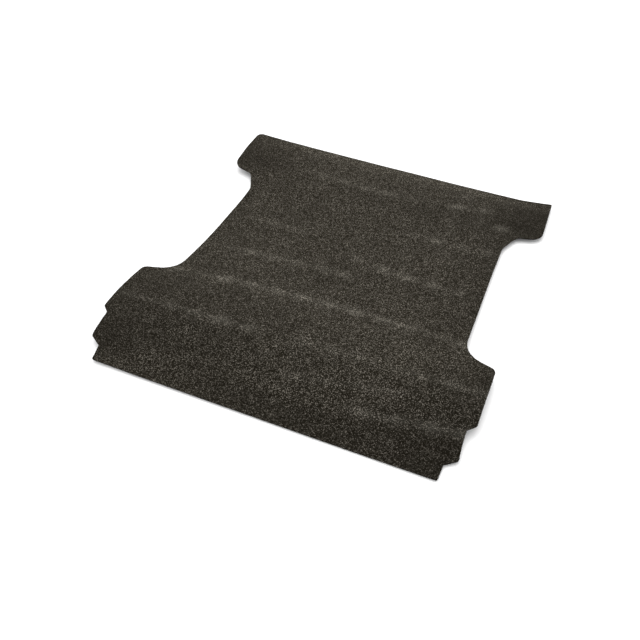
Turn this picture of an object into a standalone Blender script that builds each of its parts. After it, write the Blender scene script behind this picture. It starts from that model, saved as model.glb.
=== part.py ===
"""Carpeted floor mat for a short pickup bed, cut around the wheel housings.

Units are metres: +X is the truck's right side, +Y points forward to the bulkhead, +Z is up.
The origin is the centre of the mat's bounding box, at its lowest point.
The mat is modelled as it lies loose on a floor, with shipping waves in it. Its layers, from
the top, are the carpet, its rubber back coat, three foam panels and eight pieces of hook tape
on adhesive pads. Every layer follows one underside surface, so the layers stay parallel.

Plan places are given as (x, u), where u is the distance forward from the tailgate edge.
"""

import math

import bmesh
import bpy

# Plan of the mat: half widths, and distances from the tailgate edge
LENGTH = 1.707
REAR_HALF_WIDTH = 0.692
JAMB_INNER_HALF_WIDTH = 0.699
JAMB_HALF_WIDTH = 0.747
REAR_TAB_HALF_WIDTH = 0.776
HOUSING_HALF_WIDTH = 0.6425
FRONT_TAB_HALF_WIDTH = 0.799
JAMB_STEP = (0.064, 0.094)
SHOULDER_STEP = (0.211, 0.2365)
REAR_TAB_END = 0.515
HOUSING_START = 0.558
HOUSING_NARROWS = 1.275
HOUSING_END = (0.690, 1.374)
FRONT_TAB_START = 1.402

# Corner radii of the plan
CUT_RADIUS = 0.006
JAMB_RADIUS = 0.014
REAR_TAB_RADIUS = 0.026
FRONT_RIGHT_RADIUS = 0.006
FRONT_LEFT_RADIUS = 0.030
HOUSING_REAR_RADIUS = 0.104
HOUSING_NARROWS_RADIUS = 0.100
HOUSING_END_RADIUS = 0.035
FRONT_TAB_RADIUS = 0.060
ARC_STEP = math.radians(16)

# Layers, from the surface that the mat lies on
ADHESIVE_THICKNESS = 0.0010
HOOK_THICKNESS = 0.0022
FOAM_THICKNESS = 0.0060
BACKING_THICKNESS = 0.0010
CARPET_THICKNESS = 0.0045
LAYER_GAP = 0.0003

# Foam panels: half widths, and distances from the tailgate edge
REAR_FOAM_HALF_WIDTH = 0.630
CENTRE_FOAM_HALF_WIDTH = 0.565
FRONT_FOAM_HALF_WIDTH = 0.730
FOAM_START = 0.071
REAR_FOAM_NARROWS = 0.460
REAR_SEAM = 0.600
FRONT_SEAM = 1.310
FRONT_FOAM_WIDENS = 1.475
FOAM_END = 1.636
SEAM_GAP = 0.0010
RAMP_LENGTH = 0.015

# Hook tape pieces, cut from a 50 mm roll
TAPE_WIDTH = 0.050
TAPE_LENGTH = 0.100
TAPE_RADIUS = 0.004
TAPE_END_INSET = 0.006
TAPE_REAR_X = 0.580
TAPE_FRONT_X = 0.695
TAPE_SIDE_X = 0.605
TAPE_SIDE_U = 0.950

# Waves in the mat as it lies: heights of its underside, and where they sit along it
LEFT_HUMP = 0.064
LEFT_HUMP_AT = 0.350
LEFT_HUMP_SPREAD = 0.311
FRONT_LEFT_LIFT = 0.061
FRONT_LEFT_RISE = (1.120, 1.610)
REAR_RIGHT_LIFT = 0.006
RIGHT_RISE = (0.030, 0.350)
RIGHT_HUMP = 0.037
RIGHT_HUMP_SPREAD = 0.256
RIGHT_LIFT = 0.017
RIGHT_LIFT_FALL = 0.151
FRONT_SAG = 0.010
FRONT_SAG_START = 1.200
REAR_SAG = 0.008
REAR_SAG_END = 0.300
CORNER_CURL = 0.012
CORNER_CURL_SIZE = 0.150
LEVEL_SLOPE_X = 0.0022
LEVEL_SLOPE_U = 0.0015

# The tailgate edge is drawn to the right where the mat was rolled, more so at its left corner
LEFT_DRIFT = 0.0125
RIGHT_DRIFT = 0.0095
DRIFT_END = 0.160
# Further forward it lies slightly crooked. Each swing: its place from the tailgate edge, how
# far it reaches along the mat, and its sideways shift
SWINGS = (
    (0.205, 0.100, -0.0026),
    (0.490, 0.110, 0.0028),
    (1.270, 0.120, 0.0034),
)

# Facets: the plan is cut along these lines, besides those of the foam and the tape
PLAN_LINES_X = (0.180, 0.310, 0.430)
LONGEST_FACET = 0.062
ON_LINE = 1e-5
WELD = 0.0004

HALF_SPAN = FRONT_TAB_HALF_WIDTH


def smoothstep(start, end, value):
    """Rise from 0 at start to 1 at end, level at both."""
    s = min(max((value - start) / (end - start), 0.0), 1.0)
    return s * s * (3.0 - 2.0 * s)


def wave_height(x, u):
    """Height of the mat's underside, before the tape flattens it."""
    left_hump = LEFT_HUMP * math.exp(-(((u - LEFT_HUMP_AT) / LEFT_HUMP_SPREAD) ** 2))
    left = left_hump + FRONT_LEFT_LIFT * smoothstep(*FRONT_LEFT_RISE, u)
    right_rise = smoothstep(*RIGHT_RISE, u)
    past_hump = max(u - RIGHT_RISE[1], 0.0)
    right_hump = RIGHT_HUMP * math.exp(-((past_hump / RIGHT_HUMP_SPREAD) ** 2))
    right_lift = RIGHT_LIFT * (1.0 - smoothstep(LENGTH - RIGHT_LIFT_FALL, LENGTH, u))
    right = REAR_RIGHT_LIFT * (1.0 - right_rise) + (right_hump + right_lift) * right_rise
    across = min(max((x + HALF_SPAN) / (2.0 * HALF_SPAN), 0.0), 1.0)
    front_sag = FRONT_SAG * smoothstep(FRONT_SAG_START, LENGTH, u)
    rear_sag = REAR_SAG * (1.0 - smoothstep(0.0, REAR_SAG_END, u))
    sag = (front_sag + rear_sag) * (1.0 - (x / HALF_SPAN) ** 4)
    curl_x = smoothstep(HALF_SPAN - CORNER_CURL_SIZE, HALF_SPAN, x)
    curl = CORNER_CURL * curl_x * smoothstep(LENGTH - CORNER_CURL_SIZE, LENGTH, u)
    level = LEVEL_SLOPE_X * x + LEVEL_SLOPE_U * u
    return (1.0 - across) * left + across * right - sag + curl + level


def tape_places():
    """The hook tapes by name: centre (x, u), and half sizes along x and u."""
    half_length = TAPE_LENGTH / 2
    half_width = TAPE_WIDTH / 2
    rear_u = TAPE_END_INSET + half_width
    front_u = LENGTH - TAPE_END_INSET - half_width
    return {
        "rear_left": (-TAPE_REAR_X, rear_u, half_length, half_width),
        "rear_centre": (0.0, rear_u, half_length, half_width),
        "rear_right": (TAPE_REAR_X, rear_u, half_length, half_width),
        "side_left": (-TAPE_SIDE_X, TAPE_SIDE_U, half_width, half_length),
        "side_right": (TAPE_SIDE_X, TAPE_SIDE_U, half_width, half_length),
        "front_left": (-TAPE_FRONT_X, front_u, half_length, half_width),
        "front_centre": (0.0, front_u, half_length, half_width),
        "front_right": (TAPE_FRONT_X, front_u, half_length, half_width),
    }


def inside(x, u, place):
    """True on or inside a rectangle given as a centre and half sizes."""
    centre_x, centre_u, half_x, half_u = place
    return abs(x - centre_x) < half_x + ON_LINE and abs(u - centre_u) < half_u + ON_LINE


def base_height(x, u):
    """Height of the mat's underside: the waves, made flat where the stiff tape holds it."""
    for place in tape_places().values():
        if inside(x, u, place):
            centre_x, centre_u, half_x, half_u = place
            rise_x = wave_height(centre_x + half_x, centre_u) - wave_height(centre_x - half_x, centre_u)
            rise_u = wave_height(centre_x, centre_u + half_u) - wave_height(centre_x, centre_u - half_u)
            tilt = rise_x * (x - centre_x) / (2 * half_x) + rise_u * (u - centre_u) / (2 * half_u)
            return wave_height(centre_x, centre_u) + tilt
    return wave_height(x, u)


def foam_panels():
    """The foam panels by name, each as rectangles (half width, first u, last u)."""
    return {
        "foam_pad_rear": (
            (REAR_FOAM_HALF_WIDTH, FOAM_START, REAR_FOAM_NARROWS),
            (CENTRE_FOAM_HALF_WIDTH, REAR_FOAM_NARROWS, REAR_SEAM),
        ),
        "foam_pad_centre": ((CENTRE_FOAM_HALF_WIDTH, REAR_SEAM, FRONT_SEAM),),
        "foam_pad_front": (
            (CENTRE_FOAM_HALF_WIDTH, FRONT_SEAM, FRONT_FOAM_WIDENS),
            (FRONT_FOAM_HALF_WIDTH, FRONT_FOAM_WIDENS, FOAM_END),
        ),
    }


def over_panel(x, u, rectangles):
    """True on or inside any rectangle of a foam panel."""
    for half_width, first, last in rectangles:
        if abs(x) < half_width + ON_LINE and first - ON_LINE < u < last + ON_LINE:
            return True
    return False


def backing_height(x, u):
    """Height of the back coat's lower face: over the foam, or down on the tape around it."""
    over_foam = any(over_panel(x, u, panel) for panel in foam_panels().values())
    on_tape = ADHESIVE_THICKNESS + HOOK_THICKNESS + 2 * LAYER_GAP
    return base_height(x, u) + (FOAM_THICKNESS + LAYER_GAP if over_foam else on_tape)


def plan_corners():
    """Corners of the right half of the plan from rear to front, as (half width, u, radius)."""
    return (
        (REAR_HALF_WIDTH, 0.0, CUT_RADIUS),
        (JAMB_INNER_HALF_WIDTH, JAMB_STEP[0], CUT_RADIUS),
        (JAMB_HALF_WIDTH, JAMB_STEP[1], JAMB_RADIUS),
        (JAMB_HALF_WIDTH, SHOULDER_STEP[0], CUT_RADIUS),
        (REAR_TAB_HALF_WIDTH, SHOULDER_STEP[1], CUT_RADIUS),
        (REAR_TAB_HALF_WIDTH, REAR_TAB_END, REAR_TAB_RADIUS),
        (HOUSING_HALF_WIDTH, HOUSING_START, HOUSING_REAR_RADIUS),
        (HOUSING_HALF_WIDTH, HOUSING_NARROWS, HOUSING_NARROWS_RADIUS),
        (*HOUSING_END, HOUSING_END_RADIUS),
        (FRONT_TAB_HALF_WIDTH, FRONT_TAB_START, FRONT_TAB_RADIUS),
        (FRONT_TAB_HALF_WIDTH, LENGTH, FRONT_RIGHT_RADIUS),
    )


def rounded_corner(before, corner, after, radius):
    """Points of the arc that rounds a corner between two straight edges."""
    ahead = math.atan2(after[1] - corner[1], after[0] - corner[0])
    behind = math.atan2(before[1] - corner[1], before[0] - corner[0])
    opening = (ahead - behind + math.pi) % (2 * math.pi) - math.pi
    to_centre = radius / math.sin(abs(opening) / 2)
    middle = behind + opening / 2
    centre_x = corner[0] + to_centre * math.cos(middle)
    centre_u = corner[1] + to_centre * math.sin(middle)
    swing = math.pi - abs(opening)
    steps = max(2, round(swing / ARC_STEP))
    turn = math.copysign(swing, -opening)
    first = middle + math.pi - turn / 2
    arc = []
    for step in range(steps + 1):
        angle = first + turn * step / steps
        arc.append((centre_x + radius * math.cos(angle), centre_u + radius * math.sin(angle)))
    return arc


def mat_outline():
    """The whole plan outline with its corners rounded, as (x, u) points."""
    right = [(half_width, u, radius) for half_width, u, radius in plan_corners()]
    left = [(-half_width, u, radius) for half_width, u, radius in reversed(plan_corners())]
    left[0] = (-FRONT_TAB_HALF_WIDTH, LENGTH, FRONT_LEFT_RADIUS)
    corners = right + left
    points = []
    for index, (x, u, radius) in enumerate(corners):
        before = corners[index - 1]
        after = corners[(index + 1) % len(corners)]
        points.extend(rounded_corner(before, (x, u), after, radius))
    return points


def filled_lines(edges, longest):
    """Lines at the given places, with more between them so that no step is too long."""
    edges = sorted(edges)
    lines = [edges[0]]
    for start, end in zip(edges, edges[1:]):
        steps = math.ceil((end - start) / longest - ON_LINE)
        lines.extend(start + (end - start) * step / steps for step in range(1, steps + 1))
    return lines


def cutting_lines_x():
    """Plan lines across the mat: edges of the foam, its ramp and the tape, on both sides."""
    half_width = TAPE_WIDTH / 2
    half_length = TAPE_LENGTH / 2
    right = {half_length, TAPE_SIDE_X - half_width, TAPE_SIDE_X + half_width, *PLAN_LINES_X}
    for centre in (TAPE_REAR_X, TAPE_FRONT_X):
        right |= {centre - half_length, centre + half_length}
    for half in (REAR_FOAM_HALF_WIDTH, CENTRE_FOAM_HALF_WIDTH, FRONT_FOAM_HALF_WIDTH):
        right |= {half, half + RAMP_LENGTH}
    right = {round(x, 6) for x in right}
    return sorted(right | {-x for x in right})


def cutting_lines_u():
    """Plan lines along the mat: edges of the foam, its ramp and the tape, and more between."""
    edges = {
        TAPE_END_INSET,
        TAPE_END_INSET + TAPE_WIDTH,
        FOAM_START,
        REAR_FOAM_NARROWS,
        REAR_FOAM_NARROWS + RAMP_LENGTH,
        REAR_SEAM,
        TAPE_SIDE_U - TAPE_LENGTH / 2,
        TAPE_SIDE_U + TAPE_LENGTH / 2,
        FRONT_SEAM,
        FRONT_FOAM_WIDENS - RAMP_LENGTH,
        FRONT_FOAM_WIDENS,
        FOAM_END,
        LENGTH - TAPE_END_INSET - TAPE_WIDTH,
        LENGTH - TAPE_END_INSET,
    }
    return filled_lines({round(u, 6) for u in edges}, LONGEST_FACET)


def cut_plan(bm, axis, places):
    """Cut the flat plan along lines of constant x (axis 0) or constant u (axis 1)."""
    normal = (1, 0, 0) if axis == 0 else (0, 1, 0)
    for place in places:
        point = tuple(place * component for component in normal)
        everything = bm.verts[:] + bm.edges[:] + bm.faces[:]
        bmesh.ops.bisect_plane(bm, geom=everything, dist=WELD, plane_co=point, plane_no=normal)


def make_plan():
    """Triangles of the flat plan, as points (x, u) and corner indices, shared by all layers."""
    bm = bmesh.new()
    outline = [bm.verts.new((x, u, 0.0)) for x, u in mat_outline()]
    bm.faces.new(outline)
    cut_plan(bm, 1, cutting_lines_u())
    cut_plan(bm, 0, cutting_lines_x())
    bmesh.ops.triangulate(bm, faces=bm.faces[:])
    bm.verts.index_update()
    points = [(vert.co.x, vert.co.y) for vert in bm.verts]
    triangles = [tuple(vert.index for vert in face.verts) for face in bm.faces]
    bm.free()
    return points, triangles


def centre_of(points, triangle):
    """Mean place of a triangle's corners."""
    x = sum(points[corner][0] for corner in triangle) / 3
    u = sum(points[corner][1] for corner in triangle) / 3
    return x, u


def drift(x, u):
    """Sideways shift of the mat: most at its tailgate edge, and slight further forward."""
    leftness = min(max((HALF_SPAN - x) / (2 * HALF_SPAN), 0.0), 1.0)
    shift = LEFT_DRIFT * leftness + RIGHT_DRIFT * (1.0 - leftness)
    shift *= 1.0 - smoothstep(0.0, DRIFT_END, u)
    for place, reach, amount in SWINGS:
        shift += amount * math.exp(-(((u - place) / reach) ** 2))
    return shift


def in_frame(x, u, height):
    """A plan place and a height as a point in the mat's frame."""
    return x + drift(x, u), u - LENGTH / 2, height


def new_object(name, bm, material):
    """Turn a bmesh into a named object with one material."""
    mesh = bpy.data.meshes.new(name)
    bm.to_mesh(mesh)
    bm.free()
    mesh.materials.append(material)
    obj = bpy.data.objects.new(name, mesh)
    bpy.context.scene.collection.objects.link(obj)
    return obj


def make_layer(name, points, triangles, lower_height, thickness, material):
    """A closed sheet over some of the plan's triangles, between two parallel surfaces."""
    bm = bmesh.new()
    used = sorted({corner for triangle in triangles for corner in triangle})
    verts = {}
    for corner in used:
        x, u = points[corner]
        verts[corner] = bm.verts.new(in_frame(x, u, lower_height(x, u)))
    for triangle in triangles:
        bm.faces.new([verts[corner] for corner in reversed(triangle)])
    made = bmesh.ops.extrude_face_region(bm, geom=bm.faces[:], use_keep_orig=True)
    top = [item for item in made["geom"] if isinstance(item, bmesh.types.BMVert)]
    bmesh.ops.translate(bm, verts=top, vec=(0.0, 0.0, thickness))
    bmesh.ops.recalc_face_normals(bm, faces=bm.faces[:])
    return new_object(name, bm, material)


def make_foam_panel(name, rectangles, points, triangles, material):
    """One foam panel, trimmed at its butt seams so that it clears the next panel."""
    chosen = [t for t in triangles if over_panel(*centre_of(points, t), rectangles)]
    first = rectangles[0][1]
    last = rectangles[-1][2]
    trimmed = []
    for x, u in points:
        if abs(u - first) < ON_LINE:
            u += SEAM_GAP / 2
        elif abs(u - last) < ON_LINE:
            u -= SEAM_GAP / 2
        trimmed.append((x, u))
    return make_layer(name, trimmed, chosen, base_height, FOAM_THICKNESS, material)


def make_tape_layer(name, place, lower, thickness, material):
    """A flat rectangle with rounded corners, tilted as the underside is at its place."""
    centre_x, centre_u, half_x, half_u = place
    corners = [
        (centre_x + half_x, centre_u - half_u),
        (centre_x + half_x, centre_u + half_u),
        (centre_x - half_x, centre_u + half_u),
        (centre_x - half_x, centre_u - half_u),
    ]
    bm = bmesh.new()
    outline = []
    for index, corner in enumerate(corners):
        after = corners[(index + 1) % len(corners)]
        for x, u in rounded_corner(corners[index - 1], corner, after, TAPE_RADIUS):
            flat_x, flat_y, height = in_frame(x, u, base_height(x, u) + lower)
            outline.append(bm.verts.new((flat_x, flat_y, height)))
    face = bm.faces.new(outline)
    made = bmesh.ops.extrude_face_region(bm, geom=[face], use_keep_orig=True)
    top = [item for item in made["geom"] if isinstance(item, bmesh.types.BMVert)]
    bmesh.ops.translate(bm, verts=top, vec=(0.0, 0.0, thickness))
    bmesh.ops.recalc_face_normals(bm, faces=bm.faces[:])
    return new_object(name, bm, material)


def make_fastener(side, place, tape_material, adhesive_material):
    """A hook tape under the mat's back coat, and the adhesive pad that holds it to the bed."""
    hook_lower = ADHESIVE_THICKNESS + LAYER_GAP
    return [
        make_tape_layer(f"adhesive_pad_{side}", place, 0.0, ADHESIVE_THICKNESS, adhesive_material),
        make_tape_layer(f"hook_tape_{side}", place, hook_lower, HOOK_THICKNESS, tape_material),
    ]


def make_material(name, color, roughness):
    """A plain non-metal surface."""
    material = bpy.data.materials.new(name)
    material.use_nodes = True
    shader = material.node_tree.nodes["Principled BSDF"]
    shader.inputs["Base Color"].default_value = (*color, 1.0)
    shader.inputs["Roughness"].default_value = roughness
    shader.inputs["Metallic"].default_value = 0.0
    return material


def stand_on_floor(objects):
    """Move the meshes so that the origin is the bottom centre of their bounding box."""
    corners = [vert.co for obj in objects for vert in obj.data.vertices]
    low = [min(co[axis] for co in corners) for axis in range(3)]
    high = [max(co[axis] for co in corners) for axis in range(3)]
    shift = (-(low[0] + high[0]) / 2, -(low[1] + high[1]) / 2, -low[2])
    for obj in objects:
        for vert in obj.data.vertices:
            vert.co = [vert.co[axis] + shift[axis] for axis in range(3)]


def main():
    """Build every layer of the mat."""
    for obj in list(bpy.data.objects):
        bpy.data.objects.remove(obj)
    carpet = make_material("carpet", (0.045, 0.041, 0.034), 0.95)
    rubber = make_material("rubber_back_coat", (0.020, 0.020, 0.021), 0.80)
    foam = make_material("grey_foam", (0.110, 0.112, 0.115), 0.75)
    hook = make_material("hook_tape", (0.012, 0.012, 0.013), 0.55)
    adhesive = make_material("adhesive", (0.400, 0.395, 0.370), 0.50)
    points, triangles = make_plan()
    carpet_lift = BACKING_THICKNESS + LAYER_GAP

    def carpet_height(x, u):
        return backing_height(x, u) + carpet_lift

    objects = [
        make_layer("carpet_face", points, triangles, carpet_height, CARPET_THICKNESS, carpet),
        make_layer("carpet_backing", points, triangles, backing_height, BACKING_THICKNESS, rubber),
    ]
    for name, rectangles in foam_panels().items():
        objects.append(make_foam_panel(name, rectangles, points, triangles, foam))
    for side, place in tape_places().items():
        objects.extend(make_fastener(side, place, hook, adhesive))
    stand_on_floor(objects)


main()
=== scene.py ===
"""Looks of the carpeted bed mat: its pile, cut edge, back coat, foam panels and tape.

Every piece is built on the CAD frame. Heights are read from the CAD nodes' faces and smoothed,
so the fine meshes lie where the solids do. Units are metres.
"""

import math

import bpy
import numpy as np
from mathutils import Matrix, Vector, geometry, kdtree
from mathutils.bvhtree import BVHTree


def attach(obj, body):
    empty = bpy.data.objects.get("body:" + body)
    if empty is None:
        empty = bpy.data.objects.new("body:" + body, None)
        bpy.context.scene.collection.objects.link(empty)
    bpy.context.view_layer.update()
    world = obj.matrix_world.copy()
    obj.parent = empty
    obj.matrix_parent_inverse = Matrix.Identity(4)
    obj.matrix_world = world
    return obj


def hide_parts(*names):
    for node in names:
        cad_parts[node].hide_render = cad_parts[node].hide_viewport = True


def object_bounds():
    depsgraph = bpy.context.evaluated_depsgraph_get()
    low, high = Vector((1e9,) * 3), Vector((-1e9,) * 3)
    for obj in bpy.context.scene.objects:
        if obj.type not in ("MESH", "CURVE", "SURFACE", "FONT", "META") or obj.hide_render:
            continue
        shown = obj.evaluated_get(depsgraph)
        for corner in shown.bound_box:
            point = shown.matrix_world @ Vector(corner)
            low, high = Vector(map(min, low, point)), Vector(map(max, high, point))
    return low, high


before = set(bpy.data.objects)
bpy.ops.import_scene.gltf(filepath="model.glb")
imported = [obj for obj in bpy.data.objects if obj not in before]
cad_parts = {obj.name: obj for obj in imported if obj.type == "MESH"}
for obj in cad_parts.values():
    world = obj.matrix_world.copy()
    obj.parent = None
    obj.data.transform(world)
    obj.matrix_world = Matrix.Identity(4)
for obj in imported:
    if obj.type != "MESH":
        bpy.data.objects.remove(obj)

CAD_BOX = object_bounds()
LOW, HIGH = CAD_BOX

# Camera: direction of view in degrees, and distance to the point that it looks at
CAMERA_AZIMUTH = 23.085
CAMERA_ELEVATION = 45.101
CAMERA_ROLL = -0.348
CAMERA_TARGET = Vector((0.0475, -0.3007, 0.0))
CAMERA_DISTANCE = 2.771
CAMERA_LENS = 37.73

# Layers of the mat, from the pile down. The hook tape and its pad lie under the back coat.
CARPET_THICKNESS = 0.0045
LAYER_GAP = 0.0003
BACKING_THICKNESS = 0.0010
RIBBON_THICKNESS = 0.0008
HOOK_HEIGHT = 0.0014
PAD_THICKNESS = 0.0010
TAPE_PLACES = (
    "rear_left", "rear_centre", "rear_right", "side_left",
    "side_right", "front_left", "front_centre", "front_right",
)
FOAM_PANELS = ("rear", "centre", "front")

# Reading the CAD faces: a triangle faces up or down if the upright share of its normal is above
# FACING, and corners that turn less than SOFT_TURN belong to an arc, whose chords are bowed in
# BOW_STEPS. Heights are sampled by rays from ABOVE_MAT.
FACING = 0.5
SOFT_TURN = math.radians(20)
BOW_STEPS = 8
FEWEST_POINTS = 8
SAMPLE_STEP = 0.008
SMOOTHING = 0.020
ABOVE_MAT = 1.0
# Guards against division by nothing, and the distance at which triangulation joins points
TINY = 1e-9
TINY_NORMAL = 1e-12
TINY_SIDE = 1e-6
JOINED = 1e-7

# Meshes: steps between points, and the rounding and raggedness of edges
PILE_STEP = 0.0062
UNDER_STEP = 0.022
EDGE_STEP = 0.004
ROUNDED_EDGE = 0.0012
RAGGED_EDGE = 0.00035
RAGGED_SIZE = 0.0068
BACKING_INSET = 0.0006
FOAM_ROUNDING = 0.0015
TAPE_STEP = 0.005
# Corners of a square, anticlockwise
SQUARE = ((-1, -1), (1, -1), (1, 1), (-1, 1))
# Hooks: their spacing, half width, distance from the tape's edge, and the share of the ribbon
# that their feet are sunk in
HOOK_PITCH = 0.0038
HOOK_RADIUS = 0.00030
HOOK_CLEARANCE = 1.2 * HOOK_RADIUS + 0.001
HOOK_SUNK = 0.1
# Levels of a hook: share of its height, sideways lean and half width, both in hook radii
HOOK_LEVELS = ((0.0, 0.0, 1.3), (0.55, 0.0, 0.9), (0.85, 0.6, 1.0), (1.0, 1.8, 0.7))

# Fibres. Those of the cut edge reach out of it, and the loose ones lie on the pile. Pairs are
# ranges, except for the rise (mean and spread) and the tones (a beta distribution's numbers).
# The depth is in shares of the carpet's thickness.
EDGE_FIBRES = 6500
EDGE_FIBRE_DEPTH = (0.0003, 0.9)
EDGE_FIBRE_REACH = (0.0010, 0.0034)
EDGE_FIBRE_SLIDE = 0.0016
EDGE_FIBRE_RISE = (0.0002, 0.0006)
EDGE_FIBRE_ARCH = (-0.0003, 0.0006)
EDGE_FIBRE_TONES = (1.4, 2.2)
EDGE_FIBRE_ROOT = 0.0006
LOWEST_FIBRE_TIP = 0.0005
LOOSE_FIBRES = 6500
LOOSE_FIBRE_TONES = (1.4, 1.6)
LOOSE_FIBRE_LENGTH = (0.004, 0.009)
LOOSE_FIBRE_LIFT = (-0.0003, 0.0006)
LOOSE_FIBRE_ARCH = (0.0004, 0.0013)
LOOSE_FIBRE_ROOT = 0.0003
FIBRE_RADIUS = 0.00016
FIBRE_SIDES = 3
# Where along a fibre it has its full thickness
FIBRE_SHARES = (0.3, 0.7)

# Creases and crushed spots that the imported mat keeps, raised a little and brightened by a
# painted highlight: rows of spots, joined by a faint line.
# Each row: its place from the tailgate edge at x = 0, slant and bend, the line's strength, its
# first and last x, the first spot's x, and the strength of each spot
SPOT_PITCH = 0.117
SPOT_SIZE = (0.025, 0.016)
LINE_SIZE = 0.010
LINE_WANDER = 0.004
WANDER_SIZE = 0.11
LINE_UNEVENNESS = 0.6
UNEVENNESS_SIZE = 0.06
LONG_FADE = 0.05
SHORT_FADE = 0.03
MARK_HEIGHT = 0.0012
# Painted highlight on the creases: how much it brightens the pile, and the pale grey that it adds
CREASE_HIGHLIGHT_GAIN = 0.70
CREASE_HIGHLIGHT_COLOR = (0.0240, 0.0228, 0.0200)
MARK_ROWS = (
    (0.104, 0.118, 0.00, 0.24, 0.30, 0.80, 0.39, (0.35, 0.28, 0.55, 0.50)),
    (0.183, 0.175, 0.00, 0.20, 0.05, 0.50, 0.08, (0.10, 0.15, 0.10, 0.20)),
    (0.350, 0.035, 0.00, 0.30, -0.80, -0.10, -0.52, (0.40, 0.20, 0.70, 0.45)),
    (0.355, 0.030, 0.00, 0.15, 0.00, 0.80, 0.06, (0.25, 0.35, 0.10, 0.20, 0.25, 0.45, 0.30)),
    (0.611, 0.028, -0.07, 0.28, -0.67, -0.35, -0.64, (0.50, 0.15, 0.75)),
    (
        0.611, 0.028, -0.07, 0.28, -0.35, 0.67, -0.29,
        (0.70, 0.80, 0.85, 0.85, 0.75, 0.60, 0.60, 0.15, 0.50),
    ),
    (0.829, 0.000, -0.07, 0.22, -0.64, 0.10, -0.41, (0.45, 0.50, 0.30, 0.45, 0.35)),
    (0.968, -0.260, 0.27, 0.03, 0.03, 0.60, 0.07, (0.35, 0.90, 0.90, 0.65, 0.35)),
    (1.048, -0.030, 0.00, 0.22, -0.50, -0.17, -0.40, (0.15, 0.15)),
    (1.205, 0.010, 0.00, 0.04, 0.15, 0.62, 0.24, (0.30, 0.75, 0.50, 0.35)),
    (1.412, 0.000, 0.00, 0.00, 0.50, 0.70, 0.61, (0.90,)),
    (
        1.465, 0.000, 0.20, 0.12, -0.50, 0.60, -0.32,
        (0.50, 0.40, 0.50, 0.60, 0.20, 0.00, 0.75, 0.55),
    ),
    (1.590, 0.000, 0.00, 0.00, 0.30, 0.50, 0.40, (0.30,)),
)
# Faint streaks along the mat, raised and brightened by the same painted highlight: x, first and
# last place from the tailgate edge, strength
STREAKS = (
    (0.385, 1.22, 1.52, 0.16),
    (0.500, 1.36, 1.54, 0.18),
    (0.170, 1.44, 1.56, 0.10),
    (0.545, 0.90, 0.99, 0.15),
)
# Broad zones of painted shade and painted light on the pile. Each zone is a pair of places between
# which it fades, first across the mat, measured from its middle
LEFT_ZONE = (0.05, 0.30)
RIGHT_ZONE = (0.00, 0.25)
RIGHT_SIDE_ZONE = (0.42, 0.76)
LEFT_SIDE_ZONE = (0.35, 0.78)
TAB_ZONE = (0.45, 0.68)
# and then along it, measured from the tailgate edge
TAILGATE_ZONE = (0.06, 0.13)
TAILGATE_SLANT = 0.07
JAMB_ZONE = (0.20, 0.40)
REAR_PANEL_ZONE = (0.48, 0.60)
FRONT_ZONE = (1.36, 1.46)
BULKHEAD_ZONE = (1.61, 1.66)
# The painted shade at the rear left corner: its place and its size, across and along
CORNER_PLACE = (-0.69, 0.11)
CORNER_SIZE = (0.09, 0.05)
# How much brightness a zone loses to painted shade or gains from painted light
TAILGATE_LOSS = 0.12
TAILGATE_RIGHT_LOSS = 0.24
CORNER_LOSS = 0.26
RIGHT_PANEL_GAIN = 0.12
LEFT_PANEL_LOSS = 0.16
JAMB_LOSS = 0.13
RIGHT_SIDE_LOSS = 0.34
LEFT_SIDE_LOSS = 0.20
TAB_LOSS = 0.25
RIGHT_TAB_LOSS = 0.10
BULKHEAD_GAIN = 0.30
# Mottling: strength, size and seed
MOTTLES = ((0.09, 0.07, 8), (0.05, 0.022, 9))
# Smaller patches of painted shade and painted light: x, place from the tailgate edge, size along
# each, and change in brightness
SHADING_PATCHES = (
    (0.54, 0.17, 0.15, 0.05, -0.18),
    (0.38, 1.43, 0.32, 0.11, -0.28),
    (0.42, 1.57, 0.08, 0.04, -0.18),
    (0.62, 1.12, 0.09, 0.14, -0.14),
    (0.58, 0.35, 0.08, 0.04, -0.10),
    (-0.66, 1.56, 0.06, 0.05, 0.28),
    (-0.42, 1.56, 0.06, 0.03, -0.18),
    (-0.60, 1.47, 0.10, 0.05, -0.15),
    (-0.56, 1.64, 0.07, 0.04, 0.20),
    (-0.22, 0.06, 0.18, 0.03, -0.10),
    (0.64, 0.55, 0.12, 0.08, 0.26),
    (0.64, 1.67, 0.13, 0.03, 0.40),
    (-0.10, 1.63, 0.09, 0.03, 0.20),
    (-0.66, 0.76, 0.05, 0.11, 0.22),
    (0.42, 0.67, 0.10, 0.07, 0.14),
    (-0.42, 0.54, 0.09, 0.04, 0.18),
    (-0.10, 0.47, 0.08, 0.08, -0.13),
    (-0.42, 0.11, 0.07, 0.03, 0.20),
    (0.00, 0.14, 0.16, 0.035, 0.16),
    (0.68, 0.25, 0.12, 0.04, 0.13),
    (0.24, 0.33, 0.12, 0.08, -0.10),
    (0.42, 0.48, 0.07, 0.06, 0.11),
    (0.77, 0.46, 0.05, 0.05, -0.28),
    (0.74, 1.43, 0.07, 0.06, -0.28),
)
# Behind the front edge the mat swells, so that the edge itself slopes down. The swelling is
# lower towards the sides.
SWELL_HEIGHT = 0.0035
SWELL_PLACE = 0.060
SWELL_SIDES = (0.50, 0.72)
SWELL_SIDE_LOSS = 0.7
# Unevenness of the pile: height, size and seed
PILE_LUMPS = ((0.0007, 0.090, 3), (0.0004, 0.035, 4), (0.00018, 0.011, 5))

# The carpet's fibre pattern: clumps, tufts and crossed strands, and how much each counts
CLUMP_SIZE = 0.0026
TUFT_SIZE = 0.0015
STRAND_ANGLES = (0.35, 1.40, 2.45)
STRAND_SIZE = (0.0050, 0.0007)
CLUMP_WEIGHT = 0.60
TUFT_WEIGHT = 0.30
STRAND_WEIGHT = 0.30
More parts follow.
